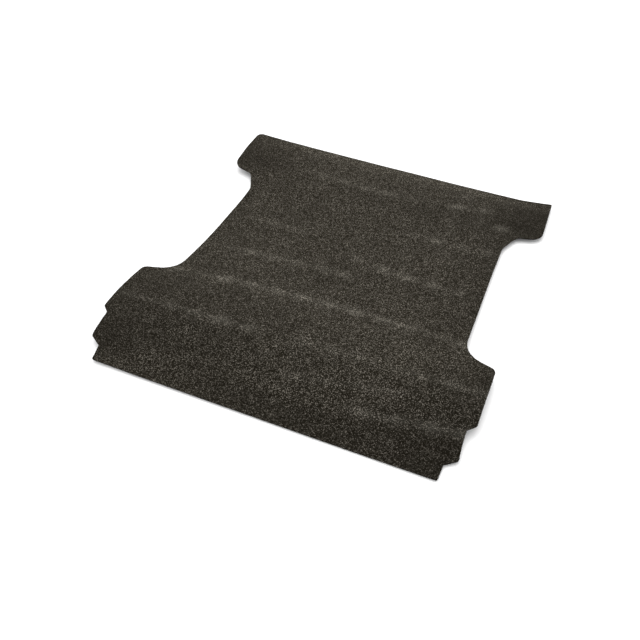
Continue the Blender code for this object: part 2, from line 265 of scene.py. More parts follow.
# Its colours by the sum of those, dark to pale, and the tint across a tuft
PILE_COLORS = (
    (0.30, (0.0020, 0.0016, 0.0006)),
    (0.64, (0.0050, 0.0042, 0.0021)),
    (0.80, (0.0220, 0.0192, 0.0143)),
    (0.97, (0.2800, 0.2540, 0.2170)),
)
TUFT_TINTS = ((0.1, (1.0, 0.90, 0.76)), (0.6, (0.92, 1.0, 1.0)))
TINT_SHARE = 0.14
# Cloudy brightness: size, contrast and darkest
CLOUD_SIZE = 0.030
CLOUD_CONTRAST = 0.425
CLOUD_DARKEST = 0.450
PILE_SPECULAR_TINT = (1.0, 0.84, 0.55, 1.0)
# Threads of the scrim, of the tape's weave and of the adhesive's linen texture. The wave node
# makes one wave per unit at WAVE_SCALE.
SCRIM_PITCH = 0.0022
WAVE_SCALE = 0.31416
TAPE_THREAD = (0.0030, 0.0005)
LINEN_THREAD = (0.0040, 0.0006)

# Stage: a floor just under the mat, a sky, and lights by name, place, size and power
FLOOR_REACH = 12
FLOOR_DROP = 0.0005
FLOOR_COLOR = (0.93, 0.93, 0.93, 1.0)
SKY_COLOR = (1.0, 1.0, 1.0, 1.0)
SKY_STRENGTH = 1.10
LIGHTS = (
    ("back_light", (-0.4, 2.2, 3.9), 3.2, 55.0),
    ("top_light", (0.0, -0.7, 4.2), 3.6, 80.0),
)

# Random numbers
SEED = 11
RAGGED_SEED = 21
NOISE_TABLE = 256
NOISE_SHIFT = 997.0


def smoothstep(start, end, value):
    """Rise from 0 at start to 1 at end, level at both."""
    s = np.clip((value - start) / (end - start), 0.0, 1.0)
    return s * s * (3.0 - 2.0 * s)


def columns(points):
    """The x and y of an array of points."""
    return points[:, 0], points[:, 1]


# ---------------------------------------------------------------- reading the CAD frame

def welded(name):
    """A CAD node's points, with doubles joined, and its triangles."""
    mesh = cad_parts[name].data
    mesh.calc_loop_triangles()
    points = np.array([vert.co for vert in mesh.vertices], float)
    triangles = np.array([tri.vertices for tri in mesh.loop_triangles], int)
    _, first, index = np.unique(points.round(6), axis=0, return_index=True, return_inverse=True)
    return points[first], index.reshape(-1)[triangles]


def facing(points, triangles, up):
    """The triangles that make up a sheet's upper face (up 1) or lower face (up -1)."""
    a, b, c = (points[triangles[:, corner]] for corner in range(3))
    normal = np.cross(b - a, c - a)
    upright = normal[:, 2] * up / np.maximum(np.linalg.norm(normal, axis=1), TINY_NORMAL)
    return triangles[upright > FACING]


def outline(points, triangles):
    """The rim of a face as an anticlockwise ring of (x, y)."""
    edges = set()
    for a, b, c in triangles:
        edges.update(((a, b), (b, c), (c, a)))
    following = {a: b for a, b in edges if (b, a) not in edges}
    start = min(following)
    ring = [start]
    while following[ring[-1]] != start:
        ring.append(following[ring[-1]])
    ring = points[ring][:, :2]
    ahead = np.roll(ring, -1, axis=0)
    area = np.sum(ring[:, 0] * ahead[:, 1] - ahead[:, 0] * ring[:, 1])
    return ring if area > 0 else ring[::-1]


def directions(ring):
    """Unit directions from each point of a ring to the next, and their lengths."""
    ahead = np.roll(ring, -1, axis=0) - ring
    length = np.linalg.norm(ahead, axis=1, keepdims=True)
    return ahead / np.maximum(length, TINY), length


def bowed(ring):
    """The ring with the chords of its arcs bowed out to the arc, and its corners kept."""
    ahead, length = directions(ring)
    behind = np.roll(ahead, 1, axis=0)
    soft = np.sum(ahead * behind, axis=1, keepdims=True) > math.cos(SOFT_TURN)
    middle = (ahead + behind) / np.linalg.norm(ahead + behind, axis=1, keepdims=True)
    leaving = np.where(soft, middle, ahead) * length
    arriving = np.roll(np.where(soft, middle, behind), -1, axis=0) * length
    end = np.roll(ring, -1, axis=0)
    parts = []
    for t in np.arange(BOW_STEPS) / BOW_STEPS:
        here = (2 * t**3 - 3 * t**2 + 1) * ring + (3 * t**2 - 2 * t**3) * end
        parts.append(here + (t**3 - 2 * t**2 + t) * leaving + (t**3 - t**2) * arriving)
    return np.stack(parts, axis=1).reshape(-1, 2)


def spaced(ring, step):
    """The same ring with points every step along it."""
    closed = np.vstack([ring, ring[:1]])
    along = np.concatenate([[0.0], np.cumsum(np.linalg.norm(np.diff(closed, axis=0), axis=1))])
    count = max(FEWEST_POINTS, round(along[-1] / step))
    places = np.linspace(0.0, along[-1], count + 1)[:-1]
    return np.stack([np.interp(places, along, closed[:, axis]) for axis in range(2)], axis=1)


def outward(ring):
    """Outward directions in plan at each point of a ring."""
    along = np.roll(ring, -1, axis=0) - np.roll(ring, 1, axis=0)
    along /= np.maximum(np.linalg.norm(along, axis=1, keepdims=True), TINY)
    return np.stack([along[:, 1], -along[:, 0]], axis=1)


class CadFace:
    """One face of a CAD sheet: its outline, and a smooth height surface through it."""

    def __init__(self, name, up):
        points, triangles = welded(name)
        face = facing(points, triangles, up)
        self.ring = bowed(outline(points, face))
        self.tree = BVHTree.FromPolygons(points.tolist(), face.tolist())
        low, high = points[:, :2].min(axis=0), points[:, :2].max(axis=0)
        room = 3 * SAMPLE_STEP
        self.xs = np.arange(low[0] - room, high[0] + room + SAMPLE_STEP, SAMPLE_STEP)
        self.ys = np.arange(low[1] - room, high[1] + room + SAMPLE_STEP, SAMPLE_STEP)
        self.heights = self.fitted(self.sampled())

    def hit(self, x, y):
        """Height of the CAD face at a place in plan, or None beside it."""
        spot = self.tree.ray_cast(Vector((x, y, ABOVE_MAT)), Vector((0.0, 0.0, -1.0)))[0]
        return None if spot is None else spot.z

    def sampled(self):
        """CAD heights on the grid, with nan beside the face."""
        rows = [[self.hit(x, y) for x in self.xs] for y in self.ys]
        return np.array(rows, dtype=float)

    def fitted(self, raw):
        """At each grid point, the height of the plane that fits the heights around it best."""
        known = np.isfinite(raw)
        known_heights = np.where(known, raw, 0.0)
        kernels = []
        for line in (self.xs, self.ys):
            gap = line[None, :] - line[:, None]
            weight = np.exp(-0.5 * (gap / SMOOTHING) ** 2)
            kernels.append([weight * gap**power for power in range(3)])

        def moment(field, power_x, power_y):
            return kernels[1][power_y] @ field @ kernels[0][power_x].T

        mask = known.astype(float)
        m = {(i, j): moment(mask, i, j) for i in range(3) for j in range(3) if i + j <= 2}
        rows = [
            [m[0, 0], m[1, 0], m[0, 1]],
            [m[1, 0], m[2, 0], m[1, 1]],
            [m[0, 1], m[1, 1], m[0, 2]],
        ]
        system = np.moveaxis(np.array(rows), (0, 1), (-2, -1)) + TINY * np.eye(3)
        powers = ((0, 0), (1, 0), (0, 1))
        right = np.stack([moment(known_heights, i, j) for i, j in powers], axis=-1)
        return np.linalg.solve(system, right[..., None])[..., 0, 0]

    def at(self, x, y):
        """Smoothed height at places in plan."""
        column = np.clip((x - self.xs[0]) / SAMPLE_STEP, 0, len(self.xs) - 1.001)
        row = np.clip((y - self.ys[0]) / SAMPLE_STEP, 0, len(self.ys) - 1.001)
        i, j = row.astype(int), column.astype(int)
        up, right = row - i, column - j
        h = self.heights
        lower = h[i, j] * (1 - right) + h[i, j + 1] * right
        upper = h[i + 1, j] * (1 - right) + h[i + 1, j + 1] * right
        return lower * (1 - up) + upper * up


# ---------------------------------------------------------------- noise, waves and marks

def value_noise(x, y, size, seed):
    """Smooth random values from -1 to 1 that change over about size."""
    side = NOISE_TABLE + 1
    table = np.random.default_rng(seed).uniform(-1.0, 1.0, (side, side))
    u, v = x / size + NOISE_SHIFT, y / size + NOISE_SHIFT
    i, j = np.floor(u).astype(int), np.floor(v).astype(int)
    s, t = smoothstep(0.0, 1.0, u - i), smoothstep(0.0, 1.0, v - j)
    i, j = i % NOISE_TABLE, j % NOISE_TABLE
    lower = table[i, j] * (1 - s) + table[i + 1, j] * s
    upper = table[i, j + 1] * (1 - s) + table[i + 1, j + 1] * s
    return lower * (1 - t) + upper * t


def front_swell(x, y):
    """Height of the swelling behind the front edge. It is nothing at the edge itself."""
    behind = np.maximum(HIGH[1] - y, 0.0) / SWELL_PLACE
    across = 1.0 - SWELL_SIDE_LOSS * smoothstep(*SWELL_SIDES, np.abs(x))
    return SWELL_HEIGHT * across * behind * np.exp(1.0 - behind)


def faded(value, first, last, outer, inner):
    """1 from first to last and 0 outside, with fades that reach out by outer and in by inner."""
    start = smoothstep(first - outer, first + inner, value)
    return start * (1 - smoothstep(last - inner, last + outer, value))


def crease_relief_and_highlight(x, y):
    """Strength of the creases and crushed spots, for their relief and their painted highlight."""
    u = y - LOW[1]
    total = np.zeros_like(x)
    for place, slant, bend, line, first, last, spot_x, spots in MARK_ROWS:
        wander = LINE_WANDER * value_noise(x, 0 * y + place, WANDER_SIZE, SEED + 5)
        off = u - place - slant * x - bend * x**2 - wander
        ends = faded(x, first, last, SHORT_FADE, LONG_FADE)
        noise = value_noise(x, 0 * y + place, UNEVENNESS_SIZE, SEED + 6)
        uneven = 1.0 + LINE_UNEVENNESS * noise
        total += line * ends * uneven * np.exp(-0.5 * (off / LINE_SIZE) ** 2)
        for index, strength in enumerate(spots):
            beside = (x - spot_x - index * SPOT_PITCH) / SPOT_SIZE[0]
            total += strength * np.exp(-0.5 * (beside**2 + (off / SPOT_SIZE[1]) ** 2))
    for place, first, last, strength in STREAKS:
        ends = faded(u, first, last, LONG_FADE, SHORT_FADE)
        total += strength * ends * np.exp(-0.5 * ((x - place) / LINE_SIZE) ** 2)
    return total


def hill(x, u, place, size):
    """A smooth hill of height 1 at a place, size wide across and along."""
    return np.exp(-(((x - place[0]) / size[0]) ** 2) - ((u - place[1]) / size[1]) ** 2)


def painted_shading_and_mottling(x, y):
    """Painted shade and painted light on the pile, times a random mottling. The middle's is 1."""
    u = y - LOW[1]
    left, right = smoothstep(*LEFT_ZONE, -x), smoothstep(*RIGHT_ZONE, x)
    rear = 1.0 - smoothstep(*TAILGATE_ZONE, u - TAILGATE_SLANT * np.maximum(x, 0.0))
    rear_panel = 1.0 - smoothstep(*REAR_PANEL_ZONE, u)
    jambs = 1.0 - smoothstep(*JAMB_ZONE, u)
    tabs = smoothstep(*TAB_ZONE, np.abs(x)) * smoothstep(*FRONT_ZONE, u)
    corner = hill(x, u, CORNER_PLACE, CORNER_SIZE)
    right_side, left_side = smoothstep(*RIGHT_SIDE_ZONE, x), smoothstep(*LEFT_SIDE_ZONE, -x)
    # Painted shade and painted light, zone by zone, then in patches
    tone = 1.0 - rear * (TAILGATE_LOSS + TAILGATE_RIGHT_LOSS * (1.0 - left)) - CORNER_LOSS * corner
    tone += rear_panel * (1.0 - rear) * (RIGHT_PANEL_GAIN * right - LEFT_PANEL_LOSS * left)
    tone *= 1.0 - JAMB_LOSS * jambs * (1.0 - rear)
    tone *= 1.0 - RIGHT_SIDE_LOSS * right_side - LEFT_SIDE_LOSS * left_side
    tone *= 1.0 - (TAB_LOSS + RIGHT_TAB_LOSS * right) * tabs
    tone *= 1.0 + BULKHEAD_GAIN * smoothstep(*BULKHEAD_ZONE, u)
    for place_x, place_u, size_x, size_u, change in SHADING_PATCHES:
        tone *= 1.0 + change * hill(x, u, (place_x, place_u), (size_x, size_u))
    mottling = sum(strength * value_noise(x, y, size, seed) for strength, size, seed in MOTTLES)
    return tone * (1.0 + mottling)


def pile_relief(x, y):
    """Unevenness of the pile above the smooth sheet."""
    lumps = sum(height * value_noise(x, y, size, seed) for height, size, seed in PILE_LUMPS)
    return lumps + MARK_HEIGHT * crease_relief_and_highlight(x, y)


class MatLayers:
    """Heights of the mat's layers over a place in plan."""

    def __init__(self):
        self.face = CadFace("carpet_face", 1)

    def carpet_top(self, x, y):
        return self.face.at(x, y) + front_swell(x, y)

    def pile_top(self, x, y):
        return self.carpet_top(x, y) + pile_relief(x, y)

    def carpet_under(self, x, y):
        return self.carpet_top(x, y) - CARPET_THICKNESS

    def backing_top(self, x, y):
        return self.carpet_under(x, y) - LAYER_GAP

    def backing_under(self, x, y):
        return self.backing_top(x, y) - BACKING_THICKNESS

    def hook_tips(self, x, y):
        return self.backing_under(x, y) - LAYER_GAP

    def ribbon_top(self, x, y):
        return self.hook_tips(x, y) - HOOK_HEIGHT

    def ribbon_under(self, x, y):
        return self.ribbon_top(x, y) - RIBBON_THICKNESS

    def pad_top(self, x, y):
        return np.maximum(self.ribbon_under(x, y) - LAYER_GAP, PAD_THICKNESS)

    def pad_under(self, x, y):
        return self.pad_top(x, y) - PAD_THICKNESS


# ---------------------------------------------------------------- meshes

def new_object(name, points, faces, material):
    """An object with smooth-shaded faces and one material, in the scene."""
    mesh = bpy.data.meshes.new(name)
    mesh.from_pydata(np.asarray(points).tolist(), [], faces)
    mesh.validate()
    mesh.shade_smooth()
    mesh.materials.append(material)
    obj = bpy.data.objects.new(name, mesh)
    bpy.context.scene.collection.objects.link(obj)
    return obj


def lattice_inside(face, ring, step, clearance):
    """Points of a triangular lattice that lie on the face and clear of the ring."""
    low, high = ring.min(axis=0), ring.max(axis=0)
    near = kdtree.KDTree(len(ring))
    for index, (x, y) in enumerate(ring):
        near.insert((x, y, 0.0), index)
    near.balance()
    points = []
    for row, y in enumerate(np.arange(low[1], high[1], step * math.sqrt(0.75))):
        for x in np.arange(low[0] + (row % 2) * step / 2, high[0], step):
            on_face = face.hit(x, y) is not None
            if on_face and near.find((x, y, 0.0))[2] > clearance:
                points.append((x, y))
    return np.array(points)


def triangulated(ring, inner):
    """Triangles that join a ring and the points inside it. The ring's points come first."""
    points = [Vector(point) for point in np.vstack([ring, inner]).tolist()]
    result = geometry.delaunay_2d_cdt(points, [], [list(range(len(ring)))], 1, JOINED)
    if len(result[0]) != len(points):
        raise RuntimeError("the triangulation added or dropped points")
    order = [source[0] for source in result[3]]
    return np.array([[order[corner] for corner in face] for face in result[2]])


def band(first, second, count):
    """Quads that join two rings of count points, given the index that each ring starts at."""
    here = np.arange(count)
    ahead = (here + 1) % count
    return np.stack([first + here, first + ahead, second + ahead, second + here], axis=1).tolist()


def closed_sheet(name, upper, lower, ring, inner_up, inner_low, rim, material):
    """A closed sheet between two height functions.

    rim holds (outward offset, share of the way down) for each ring of points down its side.
    inner_up and inner_low are the points inside the ring on the two faces.
    """
    normals = outward(ring)
    count = len(ring)
    rings = []
    for offset, share in rim:
        x, y = columns(ring + normals * np.reshape(offset, (-1, 1)))
        rings.append(np.column_stack([x, y, upper(x, y) * (1 - share) + lower(x, y) * share]))
    top = np.column_stack([inner_up, upper(*columns(inner_up))])
    under = np.column_stack([inner_low, lower(*columns(inner_low))])
    top_start = count * len(rings)
    under_start = top_start + len(top)
    last_ring = count * (len(rings) - 1)
    faces = []
    cover = triangulated(rings[0][:, :2], inner_up)
    faces.extend(np.where(cover < count, cover, cover - count + top_start).tolist())
    for level in range(len(rings) - 1):
        faces.extend(band(count * (level + 1), count * level, count))
    base = triangulated(rings[-1][:, :2], inner_low)[:, ::-1]
    faces.extend(np.where(base < count, base + last_ring, base - count + under_start).tolist())
    return new_object(name, np.vstack(rings + [top, under]), faces, material)


def add_values(piece, name, values):
    """Store a number at each point of a piece, for its material."""
    attribute = piece.data.attributes.new(name, "FLOAT", "POINT")
    attribute.data.foreach_set("value", np.asarray(values, np.float32))


# ---------------------------------------------------------------- pieces

def make_carpet(layers, material):
    """The carpet: an uneven pile surface, a rounded ragged cut edge, and a plain underside."""
    ring = spaced(layers.face.ring, EDGE_STEP)
    place = np.arange(len(ring)) * EDGE_STEP
    ragged = RAGGED_EDGE * value_noise(place, 0 * place, RAGGED_SIZE, RAGGED_SEED)
    rim = (
        (-ROUNDED_EDGE + 0 * ragged, 0.0),
        (-0.35 * ROUNDED_EDGE + ragged, 0.08),
        (ragged, 0.30),
        (0.5 * ragged - 0.0002, 0.65),
        (0 * ragged - 0.0004, 1.0),
    )
    fine = lattice_inside(layers.face, ring, PILE_STEP, ROUNDED_EDGE + 0.5 * PILE_STEP)
    coarse = lattice_inside(layers.face, ring, UNDER_STEP, 0.5 * UNDER_STEP)
    piece = closed_sheet(
        "carpet_pile", layers.pile_top, layers.carpet_under, ring, fine, coarse, rim, material
    )
    points = np.array([vert.co for vert in piece.data.vertices])
    # Painted shade and painted light, stored for the material
    add_values(piece, "painted_shading_and_mottling", painted_shading_and_mottling(*columns(points)))
    # The creases' painted highlight, stored for the material
    add_values(piece, "painted_crease_highlight", crease_relief_and_highlight(*columns(points)))
    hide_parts("carpet_face")
    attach(piece, "root")
    return piece


def make_backing(layers, material):
    """The back coat: a thin closed sheet under the whole carpet."""
    ring = spaced(layers.face.ring, EDGE_STEP)
    ring = ring - BACKING_INSET * outward(ring)
    inner = lattice_inside(layers.face, ring, UNDER_STEP, 0.5 * UNDER_STEP)
    rim = ((0.0, 0.0), (0.0001, 0.5), (0.0, 1.0))
    piece = closed_sheet(
        "back_coat", layers.backing_top, layers.backing_under, ring, inner, inner, rim, material
    )
    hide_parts("carpet_backing")
    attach(piece, "root")
    return piece


def make_foam(layers, panel, material):
    """A foam panel: flat-sided, rounded at its edges, and pressed thinner under the ramps."""
    node = f"foam_pad_{panel}"
    face = CadFace(node, -1)

    def lower(x, y):
        return np.maximum(face.at(x, y), 0.0)

    def upper(x, y):
        return layers.hook_tips(x, y) - 0.5 * LAYER_GAP

    ring = spaced(face.ring, 2 * EDGE_STEP)
    inner = lattice_inside(face, ring, UNDER_STEP, 0.5 * UNDER_STEP)
    rim = (
        (-FOAM_ROUNDING, 0.0),
        (-0.3 * FOAM_ROUNDING, 0.08),
        (0.0, 0.28),
        (0.0, 0.72),
        (-0.3 * FOAM_ROUNDING, 0.92),
        (-FOAM_ROUNDING, 1.0),
    )
    piece = closed_sheet(f"foam_{panel}", upper, lower, ring, inner, inner, rim, material)
    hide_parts(node)
    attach(piece, "root")
    return piece


def hook_points(layers, face, ring):
    """Points of the hooks on one tape: square stems whose tops lean over into a hook."""
    spots = lattice_inside(face, ring, HOOK_PITCH, HOOK_CLEARANCE)
    x, y = columns(spots)
    base = layers.ribbon_top(x, y) - HOOK_SUNK * RIBBON_THICKNESS
    tip = layers.hook_tips(x, y)
    lean = np.where(np.arange(len(spots)) % 2 == 0, 1.0, -1.0)
    rows = []
    for share, side, size in HOOK_LEVELS:
        z = base + (tip - base) * share
        for across, along in SQUARE:
            px = x + HOOK_RADIUS * (size * across + side * lean)
            py = y + HOOK_RADIUS * size * along
            rows.append(np.column_stack([px, py, z]))
    return np.stack(rows, axis=1)


def prism_faces(sides, levels):
    """Faces of one closed prism whose points go round it, level by level, from its base up."""
    faces = [list(range(sides))[::-1]]
    for level in range(levels - 1):
        faces.extend(band(sides * level, sides * (level + 1), sides))
    faces.append([sides * (levels - 1) + corner for corner in range(sides)])
    return faces


def repeated(faces, count, step, start):
    """The same faces for count shapes, whose points follow each other in blocks of step."""
    starts = [start + block * step for block in range(count)]
    return [[first + corner for corner in face] for first in starts for face in faces]


def make_tape(layers, place, material):
    """A strip of hook tape: a ribbon with rounded edges, and rows of hooks that face up."""
    node = f"hook_tape_{place}"
    face = CadFace(node, 1)
    ring = spaced(face.ring, TAPE_STEP)
    inner = lattice_inside(face, ring, 2 * TAPE_STEP, TAPE_STEP)
    rim = ((-0.0002, 0.0), (0.0, 0.3), (0.0, 0.7), (-0.0002, 1.0))
    piece = closed_sheet(
        f"grip_{place}", layers.ribbon_top, layers.ribbon_under, ring, inner, inner, rim, material
    )
    hooks = hook_points(layers, face, ring)
    points = np.array([vert.co for vert in piece.data.vertices])
    faces = [list(polygon.vertices) for polygon in piece.data.polygons]
    hook_faces = prism_faces(len(SQUARE), len(HOOK_LEVELS))
    faces.extend(repeated(hook_faces, len(hooks), hooks.shape[1], len(points)))
    bpy.data.objects.remove(piece)
    piece = new_object(f"grip_{place}", np.vstack([points, hooks.reshape(-1, 3)]), faces, material)
    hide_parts(node)
    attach(piece, "root")
    return piece


def make_pad(layers, place, material):
    """An adhesive pad under a strip of tape, with rounded edges."""
    node = f"adhesive_pad_{place}"
    face = CadFace(node, 1)
    ring = spaced(face.ring, TAPE_STEP)
    inner = lattice_inside(face, ring, 2 * TAPE_STEP, TAPE_STEP)
    rim = ((-0.0003, 0.0), (0.0, 0.35), (0.0, 0.65), (-0.0003, 1.0))
    piece = closed_sheet(
        f"pad_{place}", layers.pad_top, layers.pad_under, ring, inner, inner, rim, material
    )
    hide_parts(node)
    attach(piece, "root")
    return piece


def fibre_object(name, starts, ends, arch, radius, tones, material):
    """Short fibres, each a closed spindle that arches up between its two tips."""
    along = ends - starts
    length = np.linalg.norm(along, axis=1, keepdims=True)
    side = np.cross(along / length, (0.0, 0.0, 1.0))
    side /= np.maximum(np.linalg.norm(side, axis=1, keepdims=True), TINY_SIDE)
    rise = np.cross(side, along / length)
    rows = [starts]
    for share in FIBRE_SHARES:
        middle = starts + along * share + rise * (arch * 4 * share * (1 - share))[:, None]
        for corner in range(FIBRE_SIDES):
            angle = 2 * math.pi * corner / FIBRE_SIDES
            rows.append(middle + radius * (math.cos(angle) * side + math.sin(angle) * rise))
    rows.append(ends)
    near, far, tip = 1, 1 + FIBRE_SIDES, 1 + 2 * FIBRE_SIDES
    faces = []
    for corner in range(FIBRE_SIDES):
        ahead = (corner + 1) % FIBRE_SIDES
        faces.append([0, near + corner, near + ahead])
        faces.append([near + corner, far + corner, far + ahead, near + ahead])
        faces.append([tip, far + ahead, far + corner])
    points = np.stack(rows, axis=1)
    piece = new_object(
        name, points.reshape(-1, 3), repeated(faces, len(points), points.shape[1], 0), material
    )
    add_values(piece, "fibre_tone", np.repeat(tones, points.shape[1]))
    # The painted shade and painted light of the pile under each fibre's root
    add_values(piece, "painted_shading_and_mottling", np.repeat(painted_shading_and_mottling(*columns(starts)), points.shape[1]))
    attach(piece, "root")
    return piece


def make_edge_fibres(layers, material):
    """Fibres that stick out of the cut edge."""
    random = np.random.default_rng(SEED + 1)
    ring = spaced(layers.face.ring, EDGE_STEP)
    normals = outward(ring)
    spots = random.integers(0, len(ring), EDGE_FIBRES)
    shift = random.uniform(0.0, 1.0, (EDGE_FIBRES, 1))
    following = np.roll(ring, -1, axis=0)
    plan = ring[spots] * (1 - shift) + following[spots] * shift
    plan = plan - EDGE_FIBRE_ROOT * normals[spots]
    depth = random.uniform(*EDGE_FIBRE_DEPTH, EDGE_FIBRES) * CARPET_THICKNESS
    starts = np.column_stack([plan, layers.carpet_top(*columns(plan)) - depth])
    tangent = np.column_stack([-normals[spots][:, 1], normals[spots][:, 0]])
    reach = random.uniform(*EDGE_FIBRE_REACH, (EDGE_FIBRES, 1))
    slide = random.normal(0.0, EDGE_FIBRE_SLIDE, (EDGE_FIBRES, 1))
    rise = random.normal(*EDGE_FIBRE_RISE, EDGE_FIBRES)
    ends = starts + np.column_stack([normals[spots] * reach + tangent * slide, rise])
    ends[:, 2] = np.maximum(ends[:, 2], LOWEST_FIBRE_TIP)
    arch = random.uniform(*EDGE_FIBRE_ARCH, EDGE_FIBRES)
    tones = random.beta(*EDGE_FIBRE_TONES, EDGE_FIBRES)
    return fibre_object("edge_fibres", starts, ends, arch, FIBRE_RADIUS, tones, material)


def make_loose_fibres(layers, material):
    """Pale and dark fibres that stand out of the pile."""
    random = np.random.default_rng(SEED + 2)
    plan = random.uniform(LOW[:2], HIGH[:2], (3 * LOOSE_FIBRES, 2))
    angle = random.uniform(0.0, 2 * math.pi, len(plan))
    reach = random.uniform(*LOOSE_FIBRE_LENGTH, len(plan))
    far = plan + np.column_stack([np.cos(angle), np.sin(angle)]) * reach[:, None]
    inside = [
        layers.face.hit(*near) is not None and layers.face.hit(*end) is not None
        for near, end in zip(plan.tolist(), far.tolist())
    ]
    plan, far = plan[inside][:LOOSE_FIBRES], far[inside][:LOOSE_FIBRES]
    starts = np.column_stack([plan, layers.pile_top(*columns(plan)) - LOOSE_FIBRE_ROOT])
    lift = random.uniform(*LOOSE_FIBRE_LIFT, len(far))
    ends = np.column_stack([far, layers.pile_top(*columns(far)) + lift])
    arch = random.uniform(*LOOSE_FIBRE_ARCH, len(plan))
    tones = random.beta(*LOOSE_FIBRE_TONES, len(plan))
    return fibre_object("loose_fibres", starts, ends, arch, FIBRE_RADIUS, tones, material)


# ---------------------------------------------------------------- materials

class Surface:
    """A material, with short calls for the nodes that the materials share."""

    def __init__(self, name, roughness, specular):
        self.material = bpy.data.materials.new(name)
        self.material.use_nodes = True
        self.nodes = self.material.node_tree.nodes
        self.links = self.material.node_tree.links
        self.shader = self.nodes["Principled BSDF"]
        self.shader.inputs["Roughness"].default_value = roughness
        self.shader.inputs["Specular IOR Level"].default_value = specular
        self.place = self.nodes.new("ShaderNodeTexCoord").outputs["Object"]

    def join(self, value, socket):
        """Link a socket, or set a plain number or colour."""
        if isinstance(value, (int, float)):
            socket.default_value = value
        elif isinstance(value, tuple):
            socket.default_value = (*value, 1.0)
        else:
            self.links.new(value, socket)

    def math(self, operation, *values):
        """The result of a math node."""
        node = self.nodes.new("ShaderNodeMath")
        node.operation = operation
        for socket, value in zip(node.inputs, values):
            self.join(value, socket)
        return node.outputs[0]

    def stretched(self, angle, along, across):
        """Coordinates turned by angle, in units of along by across."""
        turn = self.nodes.new("ShaderNodeMapping")
        turn.vector_type = "TEXTURE"
        turn.inputs["Rotation"].default_value = (0.0, 0.0, angle)
        turn.inputs["Scale"].default_value = (along, across, across)
        self.links.new(self.place, turn.inputs["Vector"])
        return turn.outputs[0]

    def warped(self, size, amount):
        """Coordinates pushed about by a noise."""
        noise = self.nodes.new("ShaderNodeTexNoise")
        noise.inputs["Scale"].default_value = 1.0 / size
        noise.inputs["Detail"].default_value = 1.0
        self.links.new(self.place, noise.inputs["Vector"])
        push = self.nodes.new("ShaderNodeVectorMath")
        push.operation = "MULTIPLY_ADD"
        self.links.new(noise.outputs["Color"], push.inputs[0])
        push.inputs[1].default_value = (amount, amount, amount)
        self.links.new(self.place, push.inputs[2])
        return push.outputs[0]

    def noise(self, size, detail=2.0, roughness=0.5, place=None):
        """A noise whose features are about size across."""
        node = self.nodes.new("ShaderNodeTexNoise")
        node.inputs["Scale"].default_value = 1.0 / size
        node.inputs["Detail"].default_value = detail
        node.inputs["Roughness"].default_value = roughness
        self.links.new(place or self.place, node.inputs["Vector"])
        return node.outputs["Fac"]

    def cells(self, size, place):
        """Cells about size across: each one's random number, and the distance to its middle."""
        node = self.nodes.new("ShaderNodeTexVoronoi")
        node.inputs["Scale"].default_value = 1.0 / size
        self.links.new(place, node.inputs["Vector"])
        split = self.nodes.new("ShaderNodeSeparateColor")
        self.links.new(node.outputs["Color"], split.inputs[0])
        return split.outputs[0], node.outputs["Distance"]

    def stored(self, name):
        """A number that the mesh holds at its points."""
        node = self.nodes.new("ShaderNodeAttribute")
        node.attribute_name = name
        return node.outputs["Fac"]

    def ramp(self, value, *stops):
        """A colour ramp with (place, colour) stops."""
        node = self.nodes.new("ShaderNodeValToRGB")
        elements = node.color_ramp.elements
        while len(elements) < len(stops):
            elements.new(0.5)
        for element, (place, color) in zip(elements, stops):
            element.position = place
            element.color = (*color, 1.0)
        self.links.new(value, node.inputs["Fac"])
        return node.outputs["Color"]

    def blend(self, kind, factor, first, second):
        """A mix of two colours."""
        node = self.nodes.new("ShaderNodeMix")
        node.data_type = "RGBA"
        node.blend_type = kind
        for socket, value in ((0, factor), (6, first), (7, second)):
            self.join(value, node.inputs[socket])
        return node.outputs[2]

    def color(self, color):
        """Paint the surface."""
        self.links.new(color, self.shader.inputs["Base Color"])

    def rough(self, value, low, high):
        """Roughness that runs from low to high as value runs from 0 to 1."""
        level = self.math("MULTIPLY_ADD", value, high - low, low)
        self.links.new(level, self.shader.inputs["Roughness"])

    def bump(self, height, distance, strength=1.0):
        """Fine relief of a height that is distance deep."""
        node = self.nodes.new("ShaderNodeBump")
        node.inputs["Strength"].default_value = strength
        node.inputs["Distance"].default_value = distance
        self.links.new(height, node.inputs["Height"])
        self.links.new(node.outputs["Normal"], self.shader.inputs["Normal"])


def warm(level):
    """The carpet's slightly warm grey."""
    return (level, 0.88 * level, 0.68 * level)


